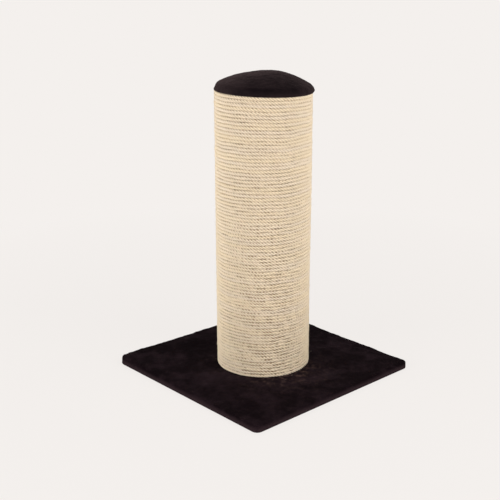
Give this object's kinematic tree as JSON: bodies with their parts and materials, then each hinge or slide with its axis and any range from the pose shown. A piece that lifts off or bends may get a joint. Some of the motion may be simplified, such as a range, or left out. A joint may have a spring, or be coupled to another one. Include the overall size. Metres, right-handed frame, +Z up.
{
  "type": "cat scratching post",
  "caption": "Free-standing cat scratching post: thick rope-wound column on a square plush-covered foot, with a domed plush cushion on top.",
  "frame": {"origin": "on the floor, at the centre of the foot and on the post's axis", "axes": "+Z up along the post; X and Y along the foot's sides"},
  "size_m": [0.45, 0.45, 0.647],
  "materials": {
    "base_board": "raw particle board",
    "foot_plush": "short-pile plush, dark brown",
    "staple_wire": "galvanised wire",
    "zinc_hardware": "zinc plated",
    "plug_wood": "raw particle board",
    "tube_cardboard": "wound paper tube",
    "sisal": "three-strand twisted sisal, natural beige",
    "cap_board_wood": "raw particle board",
    "foam": "open-cell foam",
    "cap_plush": "short-pile plush, dark brown"
  },
  "bodies": {
    "root": {"base_board": "base_board", "base_plush_cover": "foot_plush", "base_hem_staples": "staple_wire", "base_bolt": "zinc_hardware", "drive_in_nuts": "zinc_hardware", "tube_plugs": "plug_wood", "tube_plug_staples": "staple_wire", "post_tube": "tube_cardboard", "sisal_rope": "sisal", "rope_end_staples": "staple_wire", "cap_stud": "zinc_hardware", "cap_board": "cap_board_wood", "cap_foam": "foam", "cap_plush_cover": "cap_plush", "cap_hem_staples": "staple_wire"}
  },
  "joints": []
}
